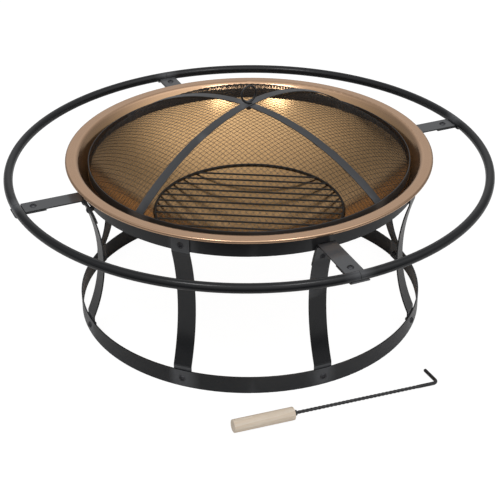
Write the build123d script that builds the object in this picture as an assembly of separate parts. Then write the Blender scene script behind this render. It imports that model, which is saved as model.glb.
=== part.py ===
"""Round garden fire pit: flat-bar stand, outer ring of tube, bowl, wire grate, mesh lid and poker.

Millimetres, +Z up. The origin is on the ground under the centre of the bowl.
Repeated pieces are built along +X and then turned about Z.
"""
from build123d import *
from math import asin, atan2, cos, degrees, radians, sin, sqrt, tan
import os

# ---- driving dimensions ------------------------------------------------------------------

# flat bar and hardware
BAR_W = 38.0                # flat bar width: hoops, legs, arms
BAR_T = 3.0                 # flat bar thickness
EDGE_R = 0.6                # rolled edge of the flat bar
BOLT_R = 3.0                # M6 shank
BOLT_HOLE_R = 3.25
HEAD_R = 7.0                # truss head
HEAD_H = 3.8
RECESS_L = 7.0              # cross recess
RECESS_W = 1.4
RECESS_D = 1.6
NUT_AF = 10.0
NUT_H = 5.0
NUT_GAP = 0.02              # between shank and nut bore
THREAD_OUT = 2.0            # shank standing out of the nut

# stand
BASE_R = 368.0              # outside of the base hoop
SUPPORT_R = 352.0           # outside of the support hoop
SUPPORT_TOP = 342.0
LEG_COUNT = 8
LEG_FIRST = 23.3            # degrees from +X
LEG_LOW_END = 2.0
LEG_BEND_R = 14.0           # bends at the two ends of a leg
LEG_LOW_BEND = 44.0
LEG_HIGH_BEND = 303.0
LEG_WAIST_R = 335.0         # outside of the leg at its waist
LEG_WAIST_Z = 182.0
LEG_HIGH_END = 337.0        # leg without an arm
FLARE_R = 313.5             # leg with an arm: it curves outwards up to its end under the arm
ARM_LEG_END = 317.0
LOW_BOLT_Z = BAR_W / 2
HIGH_BOLT_Z = 317.0
ARM_HIGH_BOLT_Z = 309.5     # through arm, leg and support hoop
ARM_LOW_BOLT_Z = 289.5      # through arm and leg only
HEAD_GAP = 0.08             # between a curved leg and the rim of a bolt head or nut
HOOP_NUT_GAP = 0.2          # between a tilted nut's lowest corner and the round hoop

# outer ring and its arms
RING_R = 498.5              # centre line
TUBE_R = 9.5
TUBE_T = 1.5
RING_Z = 326.0
SEAM_GAP = 0.8
SLEEVE_L = 56.0
SLEEVE_T = 1.5
SLEEVE_GAP = 0.1
ARM_TOP = 325.5
ARM_END = 486.0
ARM_BEND_R = 4.0
ARM_TAB_LOW = 266.0
RING_BOLT_R = 465.0         # distance of the ring bolt from the axis
SADDLE_IN = 443.0
SADDLE_BEND_R = 3.5
SADDLE_END = 318.0          # degrees round the tube, from straight outwards
SADDLE_GAP = 0.05

# bowl
BOWL_T = 1.2
BOWL_LOW = 167.0            # underside of the bowl
SEAT_GAP = 0.2              # between the bowl and the support hoop's inner edge
FLANGE_R = 381.0
FLANGE_TOP = 355.0
SHOULDER_R = 9.0
LIP_R = 2.6                 # inside of the rolled lip
LIP_TURN = 205.0            # degrees

# grate
HOOP_WIRE_R = 2.3
GRATE_R = 200.0             # centre line of the hoop
ROD_R = 2.0
ROD_COUNT = 12
ROD_PITCH = 27.0
GRATE_TURN = -6.0
GRATE_GAP = 0.3

# lid
LID_TURN = 4.8              # degrees from the diagonal
RIM_R = 334.4
RIM_T = 2.0
RIM_TOP = 348.0
RIM_GAP = 0.3
MESH_T = 1.0                # the woven cloth as a thin solid shell
CLOTH_T = 2.4               # what the cloth needs: two wires thick
MESH_SKIRT_R = 330.1
MESH_SKIRT_LOW = 327.0
MESH_CORNER_R = 3.0
MESH_APEX = 456.0           # middle of the cloth
MESH_EDGE = 337.0           # height at which the cloth's dome would meet the rim's outside
STRAP_W = 20.0
STRAP_T = 2.0
STRAP_BEND_R = 2.5
STRAP_GAP = 0.1             # between cloth and strap, and between the straps
STRAP_EDGE_R = 0.5
STRAP_END = 327.0
RIVET_Z = 332.0
RIVET_R = 1.5
RIVET_HEAD_R = 3.0
RIVET_HEAD_H = 1.2
RIVET_HOLE_R = 1.6
EYE_R = 17.3                # centre line of the lifting eye
EYE_WIRE_R = 2.2
EYE_TURN = 33.0
EYE_SHANK_R = 1.9           # the wire is turned down below the straps
EYE_HOLE_R = 1.96
WASHER_R = 8.0
WASHER_T = 1.2
WASHER_GAP = 0.1
EYE_SHANK_OUT = 2.5

# poker, lying on the ground in front
POKER_X = -34.0
POKER_Y = -495.5
POKER_TURN = 20.8
HANDLE_L = 125.0
HANDLE_R = 13.2
HANDLE_EDGE_R = 1.6
HANDLE_HOLE_R = 2.0
HANDLE_HOLE_X = 27.0
HANDLE_HOLE_LEAN = 32.0     # degrees from upright
POKER_L = 436.0             # back end of the handle to the hook's corner
POKER_ROD_R = 4.0
ROD_IN_HANDLE = 60.0
ROD_FIT = 0.05
HOOK_L = 50.0
HOOK_TURN = 95.0
HOOK_BEND_R = 9.0
COLLAR_R = 5.6
COLLAR_L = 6.5
COLLAR_EDGE_R = 1.5

# ---- worked out from them ----------------------------------------------------------------

HALF_W = BAR_W / 2
BASE_IN = BASE_R - BAR_T
SUPPORT_IN = SUPPORT_R - BAR_T
SUPPORT_LOW = SUPPORT_TOP - BAR_W
LEG_LOW_R = sqrt(BASE_IN**2 - HALF_W**2)       # a flat leg inside the round hoop
TAB_OUT = SUPPORT_R + BAR_T
FLARE_X = LEG_WAIST_R + FLARE_R                # centre of the arm legs' upper curve
ARM_LOW = ARM_TOP - BAR_T
SADDLE_LOW = ARM_LOW - BAR_T
LEG_TURNS = [LEG_FIRST + i * 360 / LEG_COUNT for i in range(LEG_COUNT)]
ARM_TURNS = LEG_TURNS[0::2]
PLAIN_TURNS = LEG_TURNS[1::2]

# the bowl's outer sphere runs through its lowest point and the support hoop's top inner edge
SEAT_R = SUPPORT_IN - SEAT_GAP
SEAT_RISE = SUPPORT_TOP - BOWL_LOW
BOWL_SPHERE = (SEAT_R**2 + SEAT_RISE**2) / (2 * SEAT_RISE)
BOWL_CENTRE = BOWL_LOW + BOWL_SPHERE
BOWL_INNER = BOWL_SPHERE - BOWL_T


def inner_bowl_z(r, inset=0.0):
    """Height of the bowl's inner face at radius r, inset towards the bowl's middle."""
    return BOWL_CENTRE - sqrt((BOWL_INNER - inset)**2 - r**2)


GRATE_Z = inner_bowl_z(GRATE_R, HOOP_WIRE_R + GRATE_GAP)
RIM_LOW = inner_bowl_z(RIM_R + RIM_GAP) + RIM_GAP


# ---- helpers -----------------------------------------------------------------------------

def spin(section):
    """Turn a flat section (x = radius, y = height) into a full ring or disc."""
    return revolve(Plane.XZ * section, Axis.Z, 360)


def bent_sheet(path, thickness):
    """Section of a sheet whose face follows path and whose body is on the path's left."""
    return make_face(offset(path, thickness, side=Side.LEFT))


def strip(path, thickness, width, edge_r):
    """A flat bar bent along path, with rounded long edges."""
    bar = extrude(Plane.XZ * bent_sheet(path, thickness), width / 2, both=True)
    sides = bar.edges().filter_by(lambda e: abs(abs(e.center().Y) - width / 2) < 0.01)
    return fillet(sides, edge_r)


def hoop(outer_r, low):
    """A flat bar on edge, rolled into a closed hoop."""
    section = Pos(outer_r - BAR_T / 2, low + BAR_W / 2) * RectangleRounded(BAR_T, BAR_W, EDGE_R)
    return spin(section)


def turned(shape, turns):
    """Copies of one shape, each turned about Z."""
    return Compound(children=[Rot(0, 0, turn) * shape for turn in turns])


def radial_hole(radius, z, r_from, r_to):
    """Cylinder along +X between two distances from the axis."""
    length = r_to - r_from
    return Pos((r_from + r_to) / 2, 0, z) * Rot(0, 90, 0) * Cylinder(radius, length)


def bolt(grip):
    """Truss-head bolt: the head's underside is at z = 0 and the shank points down."""
    crown_r = (HEAD_R**2 + HEAD_H**2) / (2 * HEAD_H)
    dome = Pos(0, 0, HEAD_H - crown_r) * Sphere(crown_r)
    head = dome & (Pos(0, 0, HEAD_H / 2) * Cylinder(HEAD_R, HEAD_H))
    length = grip + NUT_H + THREAD_OUT
    shank = Pos(0, 0, -length / 2) * Cylinder(BOLT_R, length)
    slot = Pos(0, 0, HEAD_H - RECESS_D / 2) * Box(RECESS_L, RECESS_W, RECESS_D)
    return head + shank - slot - Rot(0, 0, 90) * slot


def nut(bore_r):
    """Hexagon nut under z = 0, its corners taken off at both faces."""
    block = extrude(RegularPolygon(NUT_AF / 2, 6, major_radius=False), -NUT_H)
    corner_r = NUT_AF / 2 / cos(radians(30))
    turned_blank = Pos(0, 0, -NUT_H / 2) * Cylinder(corner_r, NUT_H)
    blank = chamfer(turned_blank.edges().filter_by(GeomType.CIRCLE), 0.5)
    return (block & blank) - Pos(0, 0, -NUT_H / 2) * Cylinder(bore_r, NUT_H)


def outward(shape, r, z):
    """Place a shape built along +Z so that it points away from the axis."""
    return Pos(r, 0, z) * Rot(0, 90, 0) * shape


def save(node, shape):
    export_step(shape, f"parts/{node}.step")


# ---- stand -------------------------------------------------------------------------------

def make_base_ring():
    ring = hoop(BASE_R, 0)
    for turn in LEG_TURNS:
        ring -= Rot(0, 0, turn) * radial_hole(BOLT_HOLE_R, LOW_BOLT_Z, BASE_IN - 5, BASE_R + 5)
    return ring


def make_support_ring():
    ring = hoop(SUPPORT_R, SUPPORT_LOW)
    level_hole = radial_hole(BOLT_HOLE_R, HIGH_BOLT_Z, SUPPORT_IN - 5, SUPPORT_R + 5)
    for turn in PLAIN_TURNS:
        ring -= Rot(0, 0, turn) * level_hole
    for turn in ARM_TURNS:
        ring -= Rot(0, 0, turn) * flare_hole(ARM_HIGH_BOLT_Z)
    return ring


def flare_join(end_r, bend_z):
    """Where a plain leg's long curve meets the bend at one of its ends."""
    reach = LEG_WAIST_R - end_r + LEG_BEND_R
    rise = bend_z - LEG_WAIST_Z
    curve_r = (reach**2 + rise**2 - LEG_BEND_R**2) / (2 * (end_r - LEG_WAIST_R))
    share = curve_r / (curve_r + LEG_BEND_R)
    centre_x = LEG_WAIST_R + curve_r
    x = centre_x + (end_r - LEG_BEND_R - centre_x) * share
    return (x, LEG_WAIST_Z + rise * share)


def lower_leg():
    """Outer face of every leg from the ground up to the waist."""
    foot = Line((LEG_LOW_R, LEG_LOW_END), (LEG_LOW_R, LEG_LOW_BEND))
    bend = TangentArc((LEG_LOW_R, LEG_LOW_BEND), flare_join(LEG_LOW_R, LEG_LOW_BEND), tangent=(0, 1))
    return foot + bend + TangentArc(bend @ 1, (LEG_WAIST_R, LEG_WAIST_Z), tangent=bend % 1)


def make_plain_leg():
    """A flat bar pinched in at the waist, upright again where it meets the support hoop."""
    waist = (LEG_WAIST_R, LEG_WAIST_Z)
    curve = TangentArc(waist, flare_join(TAB_OUT, LEG_HIGH_BEND), tangent=(0, 1))
    bend = TangentArc(curve @ 1, (TAB_OUT, LEG_HIGH_BEND), tangent=curve % 1)
    head = Line((TAB_OUT, LEG_HIGH_BEND), (TAB_OUT, LEG_HIGH_END))
    leg = strip(lower_leg() + curve + bend + head, BAR_T, BAR_W, EDGE_R)
    for z in (LOW_BOLT_Z, HIGH_BOLT_Z):
        leg -= radial_hole(BOLT_HOLE_R, z, LEG_WAIST_R, BASE_R + 5)
    return leg


def make_arm_leg():
    """The same bar, but its upper curve runs on outwards to its end under the arm."""
    leg = strip(lower_leg() + flare_arc(FLARE_R, LEG_WAIST_Z, ARM_LEG_END), BAR_T, BAR_W, EDGE_R)
    leg -= radial_hole(BOLT_HOLE_R, LOW_BOLT_Z, LEG_WAIST_R, BASE_R + 5)
    for z in (ARM_HIGH_BOLT_Z, ARM_LOW_BOLT_Z):
        leg -= flare_hole(z)
    return leg


def flare_arc(radius, low, high):
    """Part of a circle about the flare's centre, from one height up to another."""
    start = asin((low - LEG_WAIST_Z) / radius)
    end = asin((high - LEG_WAIST_Z) / radius)
    return CenterArc((FLARE_X, LEG_WAIST_Z), radius, 180 - degrees(start), degrees(start - end))


def square_to_flare(shape, z):
    """Place a shape built along +Z on the flared leg's outer face, square to it at height z."""
    tilt = asin((z - LEG_WAIST_Z) / FLARE_R)
    x = FLARE_X - FLARE_R * cos(tilt)
    return Pos(x, 0, z) * Rot(0, 90 + degrees(tilt), 0) * shape


def flare_hole(z):
    return square_to_flare(Cylinder(BOLT_HOLE_R, 60), z)


# ---- outer ring --------------------------------------------------------------------------

def make_arm():
    """Bent bar: a tab that follows the flared leg's inner face, and a level arm to the ring."""
    tab_r = FLARE_R + BAR_T
    bend_z = ARM_LOW - ARM_BEND_R
    reach = sqrt((tab_r - ARM_BEND_R)**2 - (bend_z - LEG_WAIST_Z)**2)
    tilt = degrees(asin((bend_z - LEG_WAIST_Z) / (tab_r - ARM_BEND_R)))
    bend_x = FLARE_X - reach
    join_z = LEG_WAIST_Z + tab_r * sin(radians(tilt))
    tab = flare_arc(tab_r, ARM_TAB_LOW, join_z)
    bend = CenterArc((bend_x, bend_z), ARM_BEND_R, 180 - tilt, tilt - 90)
    level = Line((bend_x, ARM_LOW), (ARM_END, ARM_LOW))
    arm = strip(tab + bend + level, BAR_T, BAR_W, EDGE_R)
    for z in (ARM_HIGH_BOLT_Z, ARM_LOW_BOLT_Z):
        arm -= flare_hole(z)
    return arm - Pos(RING_BOLT_R, 0, ARM_TOP) * Cylinder(BOLT_HOLE_R, 4 * BAR_T)


def ring_sector(outer_r, inner_r, start, sweep):
    """Part of a round tube rolled to the outer ring's radius."""
    section = Pos(RING_R, RING_Z) * Circle(outer_r)
    if inner_r:
        section -= Pos(RING_R, RING_Z) * Circle(inner_r)
    return Rot(0, 0, start) * revolve(Plane.XZ * section, Axis.Z, sweep)


def make_saddle():
    """Plate bolted under the arm that runs on round the underside of the tube."""
    # across the plate's width the tube curves inwards by this much
    sag = RING_R - sqrt(RING_R**2 - HALF_W**2)
    hug_x = RING_R - sag / 2
    far_r = TUBE_R + sag / 2 + SADDLE_GAP + BAR_T
    bend_z = SADDLE_LOW - SADDLE_BEND_R
    rise = bend_z - RING_Z
    reach = -sqrt((far_r + SADDLE_BEND_R)**2 - rise**2)
    meet = degrees(atan2(rise, reach))
    level = Line((SADDLE_IN, SADDLE_LOW), (hug_x + reach, SADDLE_LOW))
    bend = CenterArc((hug_x + reach, bend_z), SADDLE_BEND_R, 90, meet + 90)
    hug = CenterArc((hug_x, RING_Z), far_r, meet, SADDLE_END - 360 - meet)
    saddle = strip(level + bend + hug, BAR_T, BAR_W, EDGE_R)
    return saddle - Pos(RING_BOLT_R, 0, SADDLE_LOW) * Cylinder(BOLT_HOLE_R, 4 * BAR_T)


# ---- bowl and grate ----------------------------------------------------------------------

def make_bowl():
    """Spun bowl: path is its outer face, from the middle of the bottom to the rolled lip."""
    under = FLANGE_TOP - BOWL_T
    drop = under - SHOULDER_R - BOWL_CENTRE
    shoulder_x = sqrt((BOWL_SPHERE + SHOULDER_R)**2 - drop**2)
    slope = degrees(atan2(drop, shoulder_x))
    dish = CenterArc((0, BOWL_CENTRE), BOWL_SPHERE, -90, slope + 90)
    shoulder = CenterArc((shoulder_x, under - SHOULDER_R), SHOULDER_R, slope + 180, -90 - slope)
    lip_x = FLANGE_R - LIP_R - BOWL_T
    flange = Line((shoulder_x, under), (lip_x, under))
    lip = CenterArc((lip_x, under - LIP_R), LIP_R, 90, -LIP_TURN)
    return spin(bent_sheet(dish + shoulder + flange + lip, BOWL_T))


def make_grate_hoop():
    return spin(Pos(GRATE_R, GRATE_Z) * Circle(HOOP_WIRE_R))


def make_grate_rods(rim):
    """Parallel rods, cut to meet the hoop's inner side."""
    rods = []
    for i in range(ROD_COUNT):
        y = (i - (ROD_COUNT - 1) / 2) * ROD_PITCH
        rod = Pos(0, y, GRATE_Z) * Rot(0, 90, 0) * Cylinder(ROD_R, 2 * sqrt(GRATE_R**2 - y**2))
        rods.append(Rot(0, 0, GRATE_TURN) * (rod - rim))
    return Compound(children=rods)


# ---- lid ---------------------------------------------------------------------------------

DOME_RISE = MESH_APEX - MESH_EDGE
DOME_SPHERE = (RIM_R**2 + DOME_RISE**2) / (2 * DOME_RISE)
DOME_CENTRE = MESH_APEX - DOME_SPHERE


def domed_path(face_sphere, centre_z, edge_r, corner_r, low):
    """Right half of a dome's inner face: apex, arc, rounded corner, straight skirt."""
    corner_x = edge_r - corner_r
    corner_z = centre_z + sqrt((face_sphere - corner_r)**2 - corner_x**2)
    slope = degrees(atan2(corner_z - centre_z, corner_x))
    crown = CenterArc((0, centre_z), face_sphere, 90, slope - 90)
    corner = CenterArc((corner_x, corner_z), corner_r, slope, -slope)
    skirt = Line((edge_r, corner_z), (edge_r, low))
    return crown, corner, skirt


def eye_hole():
    return Pos(0, 0, MESH_APEX) * Cylinder(EYE_HOLE_R, 8 * STRAP_T)


def rivet_turns():
    return [LID_TURN + 45 + quarter * 90 for quarter in range(4)]


def rivet_holes(radius):
    hole = radial_hole(radius, RIVET_Z, MESH_SKIRT_R - 8, RIM_R + 5)
    return [Rot(0, 0, turn) * hole for turn in rivet_turns()]


def make_screen_mesh():
    crown, corner, skirt = domed_path(
        DOME_SPHERE - MESH_T / 2, DOME_CENTRE, MESH_SKIRT_R - MESH_T, MESH_CORNER_R, MESH_SKIRT_LOW
    )
    shell = spin(bent_sheet(crown + corner + skirt, MESH_T)) - eye_hole()
    for hole in rivet_holes(RIVET_HOLE_R):
        shell -= hole
    return shell


def make_lid_rim():
    height = RIM_TOP - RIM_LOW
    section = RectangleRounded(RIM_T, height, EDGE_R)
    rim = spin(Pos(RIM_R - RIM_T / 2, RIM_LOW + height / 2) * section)
    for hole in rivet_holes(RIVET_HOLE_R):
        rim -= hole
    return rim


def make_strap(lift):
    """Flat strap over the dome, raised by lift at the apex, with a tab inside the rim."""
    rim_in = RIM_R - RIM_T
    tab_in = sqrt(rim_in**2 - (STRAP_W / 2)**2) - STRAP_T
    clear = CLOTH_T / 2 + STRAP_GAP
    end_z = DOME_CENTRE + sqrt((DOME_SPHERE + clear)**2 - tab_in**2)
    apex = MESH_APEX + clear + lift
    rise = apex - end_z
    sphere = (tab_in**2 + rise**2) / (2 * rise)
    crown, corner, skirt = domed_path(sphere, apex - sphere, tab_in, STRAP_BEND_R, STRAP_END)
    half = strip(crown + corner + skirt, STRAP_T, STRAP_W, STRAP_EDGE_R)
    strap = half + Rot(0, 0, 180) * half - eye_hole()
    for turn in (0, 180):
        strap -= Rot(0, 0, turn) * radial_hole(RIVET_HOLE_R, RIVET_Z, MESH_SKIRT_R - 8, RIM_R + 5)
    return strap


def make_rivet():
    """Domed rivet through rim, strap tab and mesh skirt."""
    inner = sqrt((MESH_SKIRT_R - MESH_T)**2 - RIVET_HEAD_R**2)
    dome_r = (RIVET_HEAD_R**2 + RIVET_HEAD_H**2) / (2 * RIVET_HEAD_H)
    dome = Pos(0, 0, RIVET_HEAD_H - dome_r) * Sphere(dome_r)
    head = dome & (Pos(0, 0, RIVET_HEAD_H / 2) * Cylinder(RIVET_HEAD_R, RIVET_HEAD_H))
    tail = Pos(0, 0, inner - RIM_R - RIVET_HEAD_H / 2) * Cylinder(RIVET_HEAD_R, RIVET_HEAD_H)
    shank_l = RIM_R - inner
    shank = Pos(0, 0, -shank_l / 2) * Cylinder(RIVET_R, shank_l)
    return outward(head + shank + tail, RIM_R, RIVET_Z)


def make_eye(straps_top, nut_low):
    """Lifting eye: a wire ring standing on the crossed straps, with a shank through them."""
    centre_z = straps_top + EYE_R + EYE_WIRE_R
    loop = Pos(0, 0, centre_z) * Rot(0, 0, EYE_TURN) * Rot(90, 0, 0) * Torus(EYE_R, EYE_WIRE_R)
    low = nut_low - EYE_SHANK_OUT
    high = centre_z - EYE_R
    return loop + Pos(0, 0, (low + high) / 2) * Cylinder(EYE_SHANK_R, high - low)


# ---- poker -------------------------------------------------------------------------------

def lay_down(shape):
    """Lean a poker piece so that handle and hook touch the ground, then put it in its place."""
    lean = degrees(atan2(HANDLE_R - POKER_ROD_R, POKER_L - HANDLE_L))
    lean_r = radians(lean)
    # the handle's front rim touches down just behind its rounded edge
    touch_x = HANDLE_L - HANDLE_EDGE_R
    height = HANDLE_R * cos(lean_r) + touch_x * sin(lean_r)
    return Pos(POKER_X, POKER_Y, height) * Rot(0, 0, POKER_TURN) * Rot(0, lean, 0) * shape


def handle_hole():
    return Pos(HANDLE_HOLE_X, 0, 0) * Rot(-HANDLE_HOLE_LEAN, 0, 0) * Cylinder(HANDLE_HOLE_R, 3 * HANDLE_R)


def make_poker_handle():
    stick = Pos(HANDLE_L / 2, 0, 0) * Rot(0, 90, 0) * Cylinder(HANDLE_R, HANDLE_L)
    stick = fillet(stick.edges().filter_by(GeomType.CIRCLE), HANDLE_EDGE_R)
    bore_l = ROD_IN_HANDLE + 1
    bore = Pos(HANDLE_L - bore_l / 2, 0, 0) * Rot(0, 90, 0) * Cylinder(POKER_ROD_R + ROD_FIT, bore_l)
    return lay_down(stick - bore - handle_hole())


def make_poker_rod():
    turn = radians(HOOK_TURN)
    hook_end = (POKER_L + HOOK_L * cos(turn), HOOK_L * sin(turn))
    path = FilletPolyline((HANDLE_L - ROD_IN_HANDLE, 0), (POKER_L, 0), hook_end, radius=HOOK_BEND_R)
    rod = sweep(Plane(path @ 0, z_dir=path % 0) * Circle(POKER_ROD_R), path)
    tip = rod.edges().filter_by(GeomType.CIRCLE).sort_by_distance((*hook_end, 0))[0]
    return lay_down(fillet(tip, POKER_ROD_R - 1))


def make_poker_collar():
    collar = Pos(HANDLE_L + COLLAR_L / 2, 0, 0) * Rot(0, 90, 0) * Cylinder(COLLAR_R, COLLAR_L)
    collar = fillet(collar.edges().filter_by(GeomType.CIRCLE), COLLAR_EDGE_R)
    bore = Pos(HANDLE_L + COLLAR_L / 2, 0, 0) * Rot(0, 90, 0) * Cylinder(POKER_ROD_R + ROD_FIT, 2 * COLLAR_L)
    return lay_down(collar - bore)


# ---- build -------------------------------------------------------------------------------

def build_stand():
    save("base_ring", make_base_ring())
    save("support_ring", make_support_ring())
    arm_leg = make_arm_leg()
    plain_leg = make_plain_leg()
    for i, turn in enumerate(LEG_TURNS):
        leg = arm_leg if turn in ARM_TURNS else plain_leg
        save(f"leg_{i + 1}", Rot(0, 0, turn) * leg)
    arm = make_arm()
    saddle = make_saddle()
    half_gap = degrees(SEAM_GAP / 2 / RING_R)
    tube = ring_sector(TUBE_R, TUBE_R - TUBE_T, half_gap, 90 - 2 * half_gap)
    for i, turn in enumerate(ARM_TURNS):
        save(f"arm_{i + 1}", Rot(0, 0, turn) * arm)
        save(f"ring_saddle_{i + 1}", Rot(0, 0, turn) * saddle)
        save(f"ring_tube_{i + 1}", Rot(0, 0, turn) * tube)
    sleeve_r = TUBE_R - TUBE_T - SLEEVE_GAP
    sweep_angle = degrees(SLEEVE_L / RING_R)
    sleeve = ring_sector(sleeve_r, sleeve_r - SLEEVE_T, -sweep_angle / 2, sweep_angle)
    save("ring_sleeves", turned(sleeve, ARM_TURNS))


def build_fasteners():
    plain_nut = nut(BOLT_R + NUT_GAP)
    nut_corner = NUT_AF / 2 / cos(radians(30))
    inside_support = sqrt(SUPPORT_IN**2 - nut_corner**2)
    leg_inside = LEG_LOW_R - BAR_T
    low_bolt = outward(bolt(BASE_R - leg_inside), BASE_R, LOW_BOLT_Z)
    low_nut = outward(plain_nut, leg_inside, LOW_BOLT_Z)
    high_bolt = outward(bolt(TAB_OUT - inside_support), TAB_OUT, HIGH_BOLT_Z)
    high_nut = outward(plain_nut, inside_support, HIGH_BOLT_Z)
    # through arm, leg and hoop, square to the leg: the nut's lowest corner clears the hoop
    tilt = asin((ARM_HIGH_BOLT_Z - LEG_WAIST_Z) / FLARE_R)
    face_x = FLARE_X - FLARE_R * cos(tilt)
    long_grip = (face_x - SUPPORT_IN) / cos(tilt) + nut_corner * tan(tilt) + HOOP_NUT_GAP
    long_bolt = Pos(0, 0, HEAD_GAP) * bolt(long_grip + HEAD_GAP)
    long_nut = Pos(0, 0, -long_grip) * plain_nut
    # through arm and leg only
    short_grip = 2 * BAR_T + HEAD_GAP
    short_bolt = Pos(0, 0, HEAD_GAP) * bolt(short_grip + HEAD_GAP)
    short_nut = Pos(0, 0, -short_grip) * plain_nut
    ring_bolt = Pos(RING_BOLT_R, 0, ARM_TOP) * bolt(2 * BAR_T)
    ring_nut = Pos(RING_BOLT_R, 0, SADDLE_LOW) * plain_nut
    save("leg_bottom_bolts", turned(low_bolt, LEG_TURNS))
    save("leg_bottom_nuts", turned(low_nut, LEG_TURNS))
    save("leg_top_bolts", turned(high_bolt, PLAIN_TURNS))
    save("leg_top_nuts", turned(high_nut, PLAIN_TURNS))
    save("arm_top_bolts", turned(square_to_flare(long_bolt, ARM_HIGH_BOLT_Z), ARM_TURNS))
    save("arm_top_nuts", turned(square_to_flare(long_nut, ARM_HIGH_BOLT_Z), ARM_TURNS))
    save("arm_tab_bolts", turned(square_to_flare(short_bolt, ARM_LOW_BOLT_Z), ARM_TURNS))
    save("arm_tab_nuts", turned(square_to_flare(short_nut, ARM_LOW_BOLT_Z), ARM_TURNS))
    save("ring_bolts", turned(ring_bolt, ARM_TURNS))
    save("ring_nuts", turned(ring_nut, ARM_TURNS))


def build_bowl_and_grate():
    save("bowl", make_bowl())
    rim = make_grate_hoop()
    save("grate_hoop", rim)
    save("grate_rods", make_grate_rods(rim))


def build_lid():
    save("screen_mesh", make_screen_mesh())
    save("lid_rim", make_lid_rim())
    upper_lift = STRAP_T + STRAP_GAP
    save("lid_strap_lower", Rot(0, 0, LID_TURN - 45) * make_strap(0))
    save("lid_strap_upper", Rot(0, 0, LID_TURN + 45) * make_strap(upper_lift))
    save("lid_rivets", turned(make_rivet(), rivet_turns()))
    washer_top = MESH_APEX - CLOTH_T / 2 - WASHER_GAP
    washer = Cylinder(WASHER_R, WASHER_T) - Cylinder(EYE_HOLE_R, 2 * WASHER_T)
    save("lid_washer", Pos(0, 0, washer_top - WASHER_T / 2) * washer)
    nut_top = washer_top - WASHER_T
    save("lid_nut", Pos(0, 0, nut_top) * nut(EYE_SHANK_R + NUT_GAP))
    straps_top = MESH_APEX + CLOTH_T / 2 + STRAP_GAP + upper_lift + STRAP_T
    save("lifting_eye", make_eye(straps_top, nut_top - NUT_H))


def build_poker():
    save("poker_handle", make_poker_handle())
    save("poker_rod", make_poker_rod())
    save("poker_collar", make_poker_collar())


os.makedirs("parts", exist_ok=True)
build_stand()
build_fasteners()
build_bowl_and_grate()
build_lid()
build_poker()
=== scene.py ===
"""Garden fire pit: materials, woven lid mesh, bent-wire eye, twisted poker, studio and camera.

Metres, +Z up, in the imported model's own frame.
"""
import math

import bpy
from mathutils import Matrix, Vector


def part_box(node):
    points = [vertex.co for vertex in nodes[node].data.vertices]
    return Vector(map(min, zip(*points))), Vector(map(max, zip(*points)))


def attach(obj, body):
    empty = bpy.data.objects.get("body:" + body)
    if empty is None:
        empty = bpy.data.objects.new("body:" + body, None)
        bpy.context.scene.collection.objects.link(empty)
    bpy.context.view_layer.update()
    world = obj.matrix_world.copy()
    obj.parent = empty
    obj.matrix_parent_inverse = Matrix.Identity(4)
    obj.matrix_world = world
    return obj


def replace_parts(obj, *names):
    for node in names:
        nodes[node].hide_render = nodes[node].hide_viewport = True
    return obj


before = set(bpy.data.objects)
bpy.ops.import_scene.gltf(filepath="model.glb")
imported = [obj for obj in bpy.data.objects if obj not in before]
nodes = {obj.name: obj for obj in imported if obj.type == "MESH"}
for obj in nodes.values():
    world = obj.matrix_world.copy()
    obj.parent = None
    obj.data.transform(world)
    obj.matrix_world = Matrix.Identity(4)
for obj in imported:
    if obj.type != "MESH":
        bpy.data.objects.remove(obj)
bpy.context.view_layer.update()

MM = 0.001


# ---- node helpers --------------------------------------------------------------------------

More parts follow.
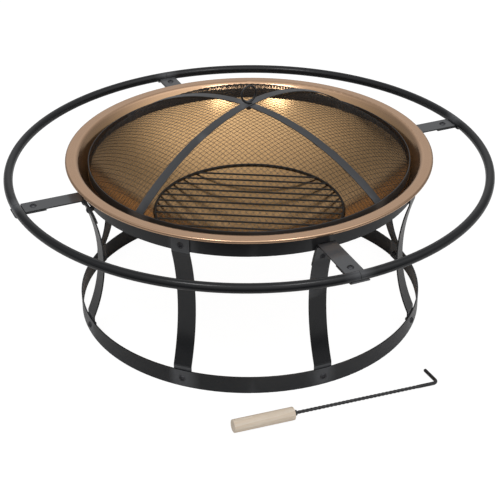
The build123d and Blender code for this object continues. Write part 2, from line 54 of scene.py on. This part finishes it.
class Tree:
    """A short way to write a material's nodes."""

    def __init__(self, name):
        self.material = bpy.data.materials.new(name)
        self.material.use_nodes = True
        self.nodes = self.material.node_tree.nodes
        self.links = self.material.node_tree.links
        self.nodes.clear()
        self.shader = self.add("ShaderNodeBsdfPrincipled")
        output = self.add("ShaderNodeOutputMaterial")
        self.links.new(self.shader.outputs["BSDF"], output.inputs["Surface"])
        self.place = self.add("ShaderNodeTexCoord").outputs["Object"]

    def add(self, kind, **settings):
        node = self.nodes.new(kind)
        for key, value in settings.items():
            setattr(node, key, value)
        return node

    def feed(self, socket, value):
        if isinstance(value, bpy.types.NodeSocket):
            self.links.new(value, socket)
        elif isinstance(value, (tuple, list)) and len(value) == 3 and socket.type == "RGBA":
            socket.default_value = (*value, 1)
        else:
            socket.default_value = value

    def set(self, **inputs):
        for key, value in inputs.items():
            self.feed(self.shader.inputs[key.replace("_", " ")], value)

    def noise(self, scale, detail=3, rough=0.55, vector=None):
        node = self.add("ShaderNodeTexNoise")
        self.links.new(vector or self.place, node.inputs["Vector"])
        self.feed(node.inputs["Scale"], scale)
        self.feed(node.inputs["Detail"], detail)
        self.feed(node.inputs["Roughness"], rough)
        return node.outputs["Fac"]

    def math(self, operation, a, b=0.0):
        node = self.add("ShaderNodeMath", operation=operation)
        self.feed(node.inputs[0], a)
        self.feed(node.inputs[1], b)
        return node.outputs[0]

    def remap(self, value, low, high, to_low=0.0, to_high=1.0, smooth=False):
        node = self.add("ShaderNodeMapRange")
        if smooth:
            node.interpolation_type = "SMOOTHSTEP"
        for name, number in (("Value", value), ("From Min", low), ("From Max", high),
                             ("To Min", to_low), ("To Max", to_high)):
            self.feed(node.inputs[name], number)
        return node.outputs["Result"]

    def mix(self, share, a, b):
        node = self.add("ShaderNodeMix", data_type="RGBA")
        self.feed(node.inputs[0], share)
        self.feed(node.inputs[6], a)
        self.feed(node.inputs[7], b)
        return node.outputs[2]

    def split(self):
        """x, y and z of the place on the piece."""
        node = self.add("ShaderNodeSeparateXYZ")
        self.links.new(self.place, node.inputs[0])
        return node.outputs

    def bump(self, height, distance, strength):
        node = self.add("ShaderNodeBump")
        self.feed(node.inputs["Height"], height)
        self.feed(node.inputs["Distance"], distance)
        self.feed(node.inputs["Strength"], strength)
        return node.outputs["Normal"]

    def edges(self):
        """1 on sharp convex edges, 0 on flat faces."""
        return self.remap(self.add("ShaderNodeNewGeometry").outputs["Pointiness"], 0.51, 0.58)


# ---- materials -----------------------------------------------------------------------------

def coated_steel(name, colour, rough, grain=900, grain_depth=0.02, wear=0.25, coat=0.0, level=0.5):
    """Powder-coated or painted steel: fine orange peel, cloudy gloss, thin wear on edges."""
    tree = Tree(name)
    cloud = tree.noise(9, 4, 0.6)
    fleck = tree.noise(2600, 2, 0.5)
    light = tuple(c * 1.35 + 0.004 for c in colour)
    dark = tuple(c * 0.75 for c in colour)
    base = tree.mix(cloud, dark, light)
    base = tree.mix(tree.remap(fleck, 0.62, 0.75, 0, 0.35), base, tuple(c * 2.2 + 0.01 for c in colour))
    base = tree.mix(tree.math("MULTIPLY", tree.edges(), wear), base, (0.32, 0.33, 0.35))
    gloss = tree.remap(tree.noise(45, 5, 0.6), 0.3, 0.7, rough * 0.88, rough * 1.14)
    peel = tree.bump(tree.noise(grain, 2, 0.5), grain_depth * MM, 0.5)
    tree.set(Base_Color=base, Roughness=gloss, Normal=peel, Metallic=0.0, Specular_IOR_Level=level)
    tree.set(Coat_Weight=coat, Coat_Roughness=0.12)
    return tree.material


def plated_steel(name):
    """Black zinc plating: dark metal, mottled."""
    tree = Tree(name)
    base = tree.mix(tree.noise(220, 3), (0.022, 0.023, 0.027), (0.060, 0.061, 0.066))
    base = tree.mix(tree.math("MULTIPLY", tree.edges(), 0.3), base, (0.30, 0.30, 0.32))
    tree.set(Base_Color=base, Metallic=0.8, Roughness=tree.remap(tree.noise(500, 3), 0.3, 0.7, 0.36, 0.5))
    tree.set(Normal=tree.bump(tree.noise(1500, 2), 0.01 * MM, 0.5))
    return tree.material


BOWL_INSIDE_R = 0.335              # inside this the copper is more golden
FLANGE_R = 0.360                   # outside this it is more pink


def spun_copper():
    """Copper-coloured spun bowl: fine turning lines round the axis and soft cloudy tone."""
    tree = Tree("spun_copper")
    x, y, z = tree.split()
    radius = tree.math("SQRT", tree.math("ADD", tree.math("MULTIPLY", x, x), tree.math("MULTIPLY", y, y)))
    combine = tree.add("ShaderNodeCombineXYZ")
    tree.feed(combine.inputs[0], radius)
    tree.feed(combine.inputs[2], z)
    lines = tree.noise(1400, 3, 0.6, combine.outputs[0])
    rings = tree.noise(160, 4, 0.6, combine.outputs[0])
    cloud = tree.noise(7, 3, 0.5)
    flange = tree.remap(radius, BOWL_INSIDE_R, FLANGE_R, smooth=True)
    light = tree.mix(flange, (0.80, 0.51, 0.255), (0.78, 0.52, 0.345))
    dark = tree.mix(flange, (0.73, 0.45, 0.215), (0.70, 0.45, 0.29))
    base = tree.mix(cloud, dark, light)
    groove = tree.mix(flange, (0.69, 0.41, 0.19), (0.67, 0.41, 0.26))
    base = tree.mix(tree.remap(rings, 0.35, 0.65, 0, 0.35), base, groove)
    gloss = tree.remap(tree.noise(30, 4, 0.6), 0.3, 0.7, 0.16, 0.21)
    normal = tree.bump(lines, 0.03 * MM, 0.4)
    tree.set(Base_Color=base, Metallic=1.0, Roughness=gloss, Normal=normal)
    return tree.material


def turned_wood(start, direction):
    """Pale hardwood: grain lines that run along the handle, pores, a few darker streaks."""
    tree = Tree("handle_wood")
    along = math.atan2(direction.y, direction.x)
    shift = tree.add("ShaderNodeVectorMath", operation="SUBTRACT")
    tree.links.new(tree.place, shift.inputs[0])
    shift.inputs[1].default_value = start
    turn = tree.add("ShaderNodeVectorRotate", rotation_type="Z_AXIS")
    tree.links.new(shift.outputs[0], turn.inputs["Vector"])
    turn.inputs["Angle"].default_value = -along
    grain_place = tree.add("ShaderNodeMapping")
    tree.links.new(turn.outputs[0], grain_place.inputs["Vector"])
    grain_place.inputs["Scale"].default_value = (0.07, 1, 1)
    vector = grain_place.outputs[0]
    rings = tree.add("ShaderNodeTexWave", wave_type="RINGS", rings_direction="X", wave_profile="SAW")
    tree.links.new(vector, rings.inputs["Vector"])
    tree.feed(rings.inputs["Scale"], 75)
    tree.feed(rings.inputs["Distortion"], 5)
    tree.feed(rings.inputs["Detail"], 3)
    tree.feed(rings.inputs["Detail Scale"], 1.5)
    fine = tree.noise(1100, 4, 0.65, vector)
    streak = tree.noise(160, 3, 0.6, vector)
    base = tree.mix(rings.outputs["Fac"], (0.97, 0.86, 0.72), (0.90, 0.75, 0.59))
    base = tree.mix(tree.remap(streak, 0.45, 0.75, 0, 0.5), base, (0.80, 0.62, 0.44))
    base = tree.mix(tree.remap(fine, 0.55, 0.8, 0, 0.45), base, (0.70, 0.52, 0.35))
    height = tree.math("SUBTRACT", tree.math("MULTIPLY", rings.outputs["Fac"], 0.4), fine)
    tree.set(Base_Color=base, Roughness=tree.remap(fine, 0.3, 0.7, 0.5, 0.68))
    tree.set(Normal=tree.bump(height, 0.12 * MM, 0.5))
    return tree.material


def wire_black(name, colour, rough):
    """Blackened wire: slightly uneven tone and gloss."""
    tree = Tree(name)
    base = tree.mix(tree.noise(300, 3), tuple(c * 0.6 for c in colour), tuple(c * 1.5 for c in colour))
    tree.set(Base_Color=base, Roughness=tree.remap(tree.noise(120, 3), 0.3, 0.7, rough * 0.85, rough * 1.2))
    tree.set(Normal=tree.bump(tree.noise(1800, 2), 0.02 * MM, 0.5))
    return tree.material


STAND_BLACK = (0.010, 0.0108, 0.0125)
STAND_PAINT = coated_steel("stand_paint", STAND_BLACK, 0.18)
TUBE_PAINT = coated_steel("tube_paint", STAND_BLACK, 0.20, grain=500, coat=0.05, level=0.4)
LID_PAINT = coated_steel("lid_paint", (0.018, 0.019, 0.022), 0.36)
PLATING = plated_steel("black_zinc")
COPPER = spun_copper()
GRATE_PAINT = wire_black("grate_black", (0.010, 0.009, 0.008), 0.5)
MESH_PAINT = wire_black("mesh_wire", (0.010, 0.009, 0.009), 0.45)
EYE_PAINT = coated_steel("eye_paint", (0.008, 0.008, 0.009), 0.28, grain=1200)
POKER_PAINT = coated_steel("poker_paint", (0.012, 0.012, 0.014), 0.30, grain=1200)


def dress(names, material):
    for name in names:
        mesh = nodes[name].data
        mesh.materials.clear()
        mesh.materials.append(material)


numbered = lambda stem, count: [f"{stem}_{i}" for i in range(1, count + 1)]
dress(["base_ring", "support_ring"] + numbered("leg", 8) + numbered("arm", 4), STAND_PAINT)
dress(numbered("ring_saddle", 4), STAND_PAINT)
dress(numbered("ring_tube", 4) + ["ring_sleeves"], TUBE_PAINT)
dress([n for n in nodes if n.endswith(("_bolts", "_nuts"))], PLATING)
dress(["lid_rivets", "lid_washer", "lid_nut"], PLATING)
dress(["bowl"], COPPER)
dress(["grate_hoop", "grate_rods"], GRATE_PAINT)
dress(["lid_rim", "lid_strap_lower", "lid_strap_upper"], LID_PAINT)
dress(["poker_collar"], POKER_PAINT)


# ---- mesh helpers --------------------------------------------------------------------------

def new_piece(name, body, material, vertices, faces):
    mesh = bpy.data.meshes.new(name)
    mesh.from_pydata(vertices, [], faces)
    mesh.validate()
    mesh.update()
    mesh.shade_smooth()
    piece = bpy.data.objects.new(name, mesh)
    bpy.context.scene.collection.objects.link(piece)
    mesh.materials.append(material)
    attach(piece, body)
    return piece


def add_tube(path, radius, sides, vertices, faces, up=None, ends=True):
    """Add a round wire along path to the lists; its section turns as little as it can.

    radius is one number, or a number for each point of the path.
    """
    radii = radius if isinstance(radius, list) else [radius] * len(path)
    first = len(vertices)
    count = len(path)
    frame_up = up
    for i, point in enumerate(path):
        ahead = path[min(i + 1, count - 1)] - path[max(i - 1, 0)]
        ahead.normalize()
        if frame_up is None:
            frame_up = Vector((0, 0, 1)) if abs(ahead.z) < 0.9 else Vector((1, 0, 0))
        side = frame_up.cross(ahead).normalized()
        frame_up = ahead.cross(side)
        for k in range(sides):
            turn = 2 * math.pi * k / sides
            vertices.append(point + radii[i] * (math.cos(turn) * side + math.sin(turn) * frame_up))
    for i in range(count - 1):
        for k in range(sides):
            a = first + i * sides + k
            b = first + i * sides + (k + 1) % sides
            faces.append((a, b, b + sides, a + sides))
    if ends:
        faces.append(tuple(range(first + sides - 1, first - 1, -1)))
        last = first + (count - 1) * sides
        faces.append(tuple(range(last, last + sides)))


# ---- lid: woven mesh -----------------------------------------------------------------------

LID_TURN = math.radians(42.7)      # direction of one set of wires, from +X
WIRE_PITCH = 9.0 * MM
WIRE_R = 0.39 * MM
WEAVE = 0.42 * MM                  # how far a wire swings to each side of the cloth
WIRE_SIDES = 6
STEPS_PER_PITCH = 3
CLOTH_SKIRT = 12 * MM              # length of cloth turned down behind the rim

mesh_low, mesh_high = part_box("screen_mesh")
rim_low, rim_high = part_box("lid_rim")
CAD_CLOTH_T = 1.0 * MM
CLOTH_R = mesh_high.x - WIRE_R - WEAVE
CLOTH_TOP = mesh_high.z - CAD_CLOTH_T / 2
CLOTH_EDGE_DROP = 11 * MM          # the dome would meet the rim's outside this far below its top
cloth_rise = CLOTH_TOP - (rim_high.z - CLOTH_EDGE_DROP)
CLOTH_SPHERE = (rim_high.x ** 2 + cloth_rise ** 2) / (2 * cloth_rise)
CLOTH_CENTRE = Vector((0, 0, CLOTH_TOP - CLOTH_SPHERE))


def cloth_point(x, y):
    """A point on the dome over x, y, and the cloth's outward direction there."""
    height = math.sqrt(CLOTH_SPHERE ** 2 - x * x - y * y)
    point = CLOTH_CENTRE + Vector((x, y, height))
    return point, (point - CLOTH_CENTRE).normalized()


def woven_set(across):
    """One set of parallel wires: across is 0 for one direction, 1 for the other."""
    vertices, faces = [], []
    spin = LID_TURN + across * math.pi / 2
    along = Vector((math.cos(spin), math.sin(spin), 0))
    aside = Vector((-math.sin(spin), math.cos(spin), 0))
    wires = int(CLOTH_R / WIRE_PITCH)
    for i in range(-wires, wires + 1):
        offset = (i + 0.5) * WIRE_PITCH
        if abs(offset) >= CLOTH_R - 1.5 * WIRE_PITCH:
            continue
        half = math.sqrt(CLOTH_R ** 2 - offset ** 2)
        step = WIRE_PITCH / STEPS_PER_PITCH
        path = []
        count = int(half / step)
        stations = [-half] + [k * step for k in range(-count, count + 1)] + [half]
        if count * step > half - 0.3 * step:
            stations = [-half] + [k * step for k in range(-count + 1, count)] + [half]
        for s in stations:
            place = offset * aside + s * along
            point, normal = cloth_point(place.x, place.y)
            swing = WEAVE * math.cos(math.pi * (s / WIRE_PITCH - 0.5))
            if (i + across) % 2:
                swing = -swing
            if abs(s) < half - 0.1 * step:
                point = point + swing * normal
            path.append(point)
        for end in (0, -1):
            down = path[end] - Vector((0, 0, CLOTH_SKIRT))
            if end == 0:
                path.insert(0, down)
            else:
                path.append(down)
        add_tube(path, WIRE_R, WIRE_SIDES, vertices, faces)
    return vertices, faces


for across, name in ((0, "mesh_warp"), (1, "mesh_weft")):
    wires_verts, wires_faces = woven_set(across)
    cloth = new_piece(name, "lid", MESH_PAINT, wires_verts, wires_faces)
    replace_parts(cloth, "screen_mesh")


# ---- lid: lifting eye of one bent wire ------------------------------------------------------

eye_low, eye_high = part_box("lifting_eye")
EYE_WIRE = 2.15 * MM
EYE_CAD_WIRE = 2.2 * MM             # wire radius of the plain ring it replaces
EYE_SHANK = 1.85 * MM              # turned down below the straps
EYE_LOOP = 17.3 * MM
EYE_TURN = math.radians(33)
EYE_SIDES = 20


def lifting_eye():
    """Shank up through the straps, once round the loop, and a small curl at the wire's end."""
    centre_z = eye_high.z - EYE_LOOP - EYE_CAD_WIRE
    flat = Vector((math.cos(EYE_TURN), math.sin(EYE_TURN), 0))
    front = Vector((math.sin(EYE_TURN), -math.cos(EYE_TURN), 0))
    centre = Vector((0, 0, centre_z))
    neck = centre_z - EYE_LOOP - EYE_CAD_WIRE
    path = [Vector((0, 0, eye_low.z)), Vector((0, 0, neck - 0.3 * MM)), Vector((0, 0, neck + 0.2 * MM))]
    radii = [EYE_SHANK, EYE_SHANK, EYE_WIRE]
    turns = 60
    for k in range(turns + 1):
        angle = -math.pi / 2 + 2 * math.pi * k / turns * 0.985
        lean = 2.2 * EYE_WIRE * max(0.0, (k / turns - 0.55) / 0.45) ** 2
        around = math.cos(angle) * flat + math.sin(angle) * Vector((0, 0, 1))
        path.append(centre + EYE_LOOP * around + lean * front)
    end = path[-1]
    for k in range(1, 11):
        angle = math.pi * k / 10 * 1.1
        path.append(end + front * (1.0 * MM * k / 10) + flat * (5.0 * MM * math.sin(angle)) * 0.9
                    + Vector((0, 0, -4.5 * MM * (1 - math.cos(angle)) / 2)))
    radii += [EYE_WIRE] * (len(path) - len(radii))
    vertices, faces = [], []
    add_tube(path, radii, EYE_SIDES, vertices, faces, up=front)
    return new_piece("lifting_eye_wire", "lid", EYE_PAINT, vertices, faces)


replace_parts(lifting_eye(), "lifting_eye")


# ---- poker ---------------------------------------------------------------------------------

POKER_TURN = math.radians(20.8)
POKER_BACK = Vector((-34.0 * MM, -495.5 * MM, 0))
POKER_ROD_R = 4.0 * MM
HANDLE_R = 13.2 * MM
HANDLE_L = 125.0 * MM
HANDLE_EDGE = 1.6 * MM
POKER_L = 436.0 * MM
HOOK_L = 50.0 * MM
HOOK_TURN = math.radians(95)
HOOK_BEND = 9.0 * MM
SQUARE_HALF = 2.85 * MM
ROUND_R = 3.6 * MM                 # the bar past its twist
TWIST_PITCH = 34 * MM              # length of one full turn of the square bar
LEAN = math.atan2(HANDLE_R - POKER_ROD_R, POKER_L - HANDLE_L)

back_height = HANDLE_R * math.cos(LEAN) + (HANDLE_L - HANDLE_EDGE) * math.sin(LEAN)
poker_matrix = (
    Matrix.Translation(POKER_BACK + Vector((0, 0, back_height)))
    @ Matrix.Rotation(POKER_TURN, 4, "Z")
    @ Matrix.Rotation(LEAN, 4, "Y")
)


def poker_path():
    """Middle of the rod, from inside the handle, round the bend, to the hook's end."""
    points = []
    reach = HOOK_BEND * math.tan(HOOK_TURN / 2)
    straight = POKER_L - reach
    start = HANDLE_L - 6 * MM
    steps = int((straight - start) / (1.6 * MM))
    for k in range(steps + 1):
        points.append(Vector((start + (straight - start) * k / steps, 0, 0)))
    for k in range(1, 17):
        angle = HOOK_TURN * k / 16
        points.append(Vector((straight + HOOK_BEND * math.sin(angle), HOOK_BEND * (1 - math.cos(angle)), 0)))
    hook_way = Vector((math.cos(HOOK_TURN), math.sin(HOOK_TURN), 0))
    end = Vector((POKER_L, 0, 0)) + hook_way * HOOK_L
    bend_end = points[-1]
    for k in range(1, 13):
        points.append(bend_end.lerp(end, k / 12))
    return points


def twisted_rod():
    """Square bar twisted from the handle to the bend, round from there on, with a rounded tip."""
    path = poker_path()
    vertices, faces = [], []
    sides = 24
    up = Vector((0, 0, 1))
    run = 0.0
    length = sum((b - a).length for a, b in zip(path, path[1:]))
    twist_end = POKER_L - HANDLE_L - 34 * MM
    for i, point in enumerate(path):
        if i:
            run += (point - path[i - 1]).length
        ahead = (path[min(i + 1, len(path) - 1)] - path[max(i - 1, 0)]).normalized()
        side = up.cross(ahead).normalized()
        square = min(1.0, max(0.0, (twist_end - run) / (12 * MM)))
        spin = 2 * math.pi * min(run, twist_end) / TWIST_PITCH
        tip = min(1.0, (length - run) / POKER_ROD_R + 0.02)
        shrink = math.sqrt(1 - (1 - tip) ** 2) if tip < 1 else 1.0
        for k in range(sides):
            turn = 2 * math.pi * k / sides
            corner = (abs(math.cos(turn)) ** 5 + abs(math.sin(turn)) ** 5) ** (-1 / 5)
            radius = (SQUARE_HALF * corner * square + ROUND_R * (1 - square)) * shrink
            radius = min(radius, POKER_ROD_R)
            vertices.append(point + radius * (math.cos(turn + spin) * side + math.sin(turn + spin) * up))
    for i in range(len(path) - 1):
        for k in range(sides):
            a = i * sides + k
            b = i * sides + (k + 1) % sides
            faces.append((a, b, b + sides, a + sides))
    faces.append(tuple(range(sides - 1, -1, -1)))
    last = (len(path) - 1) * sides
    faces.append(tuple(range(last, last + sides)))
    vertices = [poker_matrix @ v for v in vertices]
    return new_piece("poker_bar", "poker", POKER_PAINT, vertices, faces)


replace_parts(twisted_rod(), "poker_rod")
dress(["poker_handle"], turned_wood(POKER_BACK, Vector((math.cos(POKER_TURN), math.sin(POKER_TURN), 0))))


# ---- studio --------------------------------------------------------------------------------

FLOOR_PALE = 0.75
FLOOR_DARK = 0.12
FLOOR_PALE_Y = -0.72               # the floor stays pale as far forward as this
FLOOR_DARK_Y = -0.90
FLOOR_GLOW = 0.96                  # the even white that the camera sees
FLOOR_SHADE = 0.16                 # share of the light on the paper that the camera sees besides
FLOOR_HALF = 14.0
FLOOR_Z = -0.5 * MM                # just under the feet


def floor_paper():
    """White paper. The camera sees it evenly lit; the part sees it pale, and dark far in front."""
    tree = Tree("floor_paper")
    y = tree.split()[1]
    pale = tree.remap(y, FLOOR_DARK_Y, FLOOR_PALE_Y, FLOOR_DARK, FLOOR_PALE, smooth=True)
    tint = tree.add("ShaderNodeCombineColor")
    for channel in range(3):
        tree.feed(tint.inputs[channel], pale)
    tree.set(Base_Color=tint.outputs[0], Roughness=0.95, Specular_IOR_Level=0.1)
    seen = tree.add("ShaderNodeBsdfDiffuse")
    tree.feed(seen.inputs["Color"], (FLOOR_SHADE, FLOOR_SHADE, FLOOR_SHADE))
    glow = tree.add("ShaderNodeEmission")
    tree.feed(glow.inputs["Strength"], FLOOR_GLOW)
    both = tree.add("ShaderNodeAddShader")
    tree.links.new(seen.outputs[0], both.inputs[0])
    tree.links.new(glow.outputs[0], both.inputs[1])
    choose = tree.add("ShaderNodeMixShader")
    tree.links.new(tree.add("ShaderNodeLightPath").outputs["Is Camera Ray"], choose.inputs[0])
    tree.links.new(tree.shader.outputs[0], choose.inputs[1])
    tree.links.new(both.outputs[0], choose.inputs[2])
    output = next(node for node in tree.nodes if node.type == "OUTPUT_MATERIAL")
    tree.links.new(choose.outputs[0], output.inputs["Surface"])
    return tree.material


def make_floor():
    mesh = bpy.data.meshes.new("floor")
    corners = [(x * FLOOR_HALF, y * FLOOR_HALF, FLOOR_Z) for x, y in ((-1, -1), (1, -1), (1, 1), (-1, 1))]
    mesh.from_pydata(corners, [], [(0, 1, 2, 3)])
    floor = bpy.data.objects.new("floor", mesh)
    bpy.context.scene.collection.objects.link(floor)
    mesh.materials.append(floor_paper())


BOWL_MIDDLE = Vector((0, 0, 0.33))
SKY_AMBIENT = 0.23
SKY_LOBES = [
    (165, 62, 3.6, 0.85),          # over the camera, broad
    (92, 50, 10, 0.36),            # right
    (-92, 50, 10, 0.22),           # left
    (0, 30, 9, 0.34),              # low behind
]


def sky_way(azimuth, elevation):
    """Direction from the bowl; azimuth is from +Y (behind) towards +X, in degrees."""
    a, e = math.radians(azimuth), math.radians(elevation)
    return Vector((math.sin(a) * math.cos(e), math.cos(a) * math.cos(e), math.sin(e)))


def make_world(ambient, lobes):
    """An even studio with broad brighter parts: (azimuth, elevation, sharpness, strength) each."""
    world = bpy.data.worlds.new("studio")
    world.use_nodes = True
    sky = world.node_tree.nodes
    links = world.node_tree.links
    way = sky.new("ShaderNodeTexCoord").outputs["Generated"]
    total = None
    for azimuth, elevation, sharpness, strength in lobes:
        dot = sky.new("ShaderNodeVectorMath")
        dot.operation = "DOT_PRODUCT"
        links.new(way, dot.inputs[0])
        dot.inputs[1].default_value = sky_way(azimuth, elevation)
        socket = dot.outputs["Value"]
        for operation, amount in (("MAXIMUM", 0.0), ("POWER", sharpness), ("MULTIPLY", strength)):
            step = sky.new("ShaderNodeMath")
            step.operation = operation
            links.new(socket, step.inputs[0])
            step.inputs[1].default_value = amount
            socket = step.outputs[0]
        add = sky.new("ShaderNodeMath")
        add.operation = "ADD"
        links.new(socket, add.inputs[0])
        if total is None:
            add.inputs[1].default_value = ambient
        else:
            links.new(total, add.inputs[1])
        total = add.outputs[0]
    background = sky["Background"]
    background.inputs["Color"].default_value = (1, 1, 1, 1)
    links.new(total, background.inputs["Strength"])
    bpy.context.scene.world = world


def light_from(name, azimuth, elevation, distance, size, radiance):
    """A square soft box aimed at the bowl, as bright as radiance says."""
    data = bpy.data.lights.new(name, "AREA")
    data.shape = "RECTANGLE"
    data.size = size
    data.size_y = size
    data.energy = radiance * math.pi * size * size
    light = bpy.data.objects.new(name, data)
    bpy.context.scene.collection.objects.link(light)
    way = sky_way(azimuth, elevation)
    light.location = BOWL_MIDDLE + distance * way
    light.rotation_euler = (-way).to_track_quat("-Z", "Y").to_euler()


make_floor()
make_world(SKY_AMBIENT, SKY_LOBES)
light_from("key_right", 150, 59, 2.4, 0.42, 6.0)
light_from("key_left", -149, 58, 2.4, 0.45, 8.0)

camera_data = bpy.data.cameras.new("camera")
camera_data.lens = 99.05
camera_data.sensor_width = 36
camera_data.clip_end = 50
camera = bpy.data.objects.new("camera", camera_data)
bpy.context.scene.collection.objects.link(camera)
CAMERA_PLACE = Vector((0.8 * MM, -2575.7 * MM, 1620.4 * MM))
CAMERA_PITCH = math.radians(30.33)
CAMERA_ROLL = math.radians(-0.37)
camera.matrix_world = (
    Matrix.Translation(CAMERA_PLACE)
    @ Matrix.Rotation(math.pi / 2 - CAMERA_PITCH, 4, "X")
    @ Matrix.Rotation(CAMERA_ROLL, 4, "Z")
)
bpy.context.scene.camera = camera
bpy.context.scene.view_settings.view_transform = "Standard"
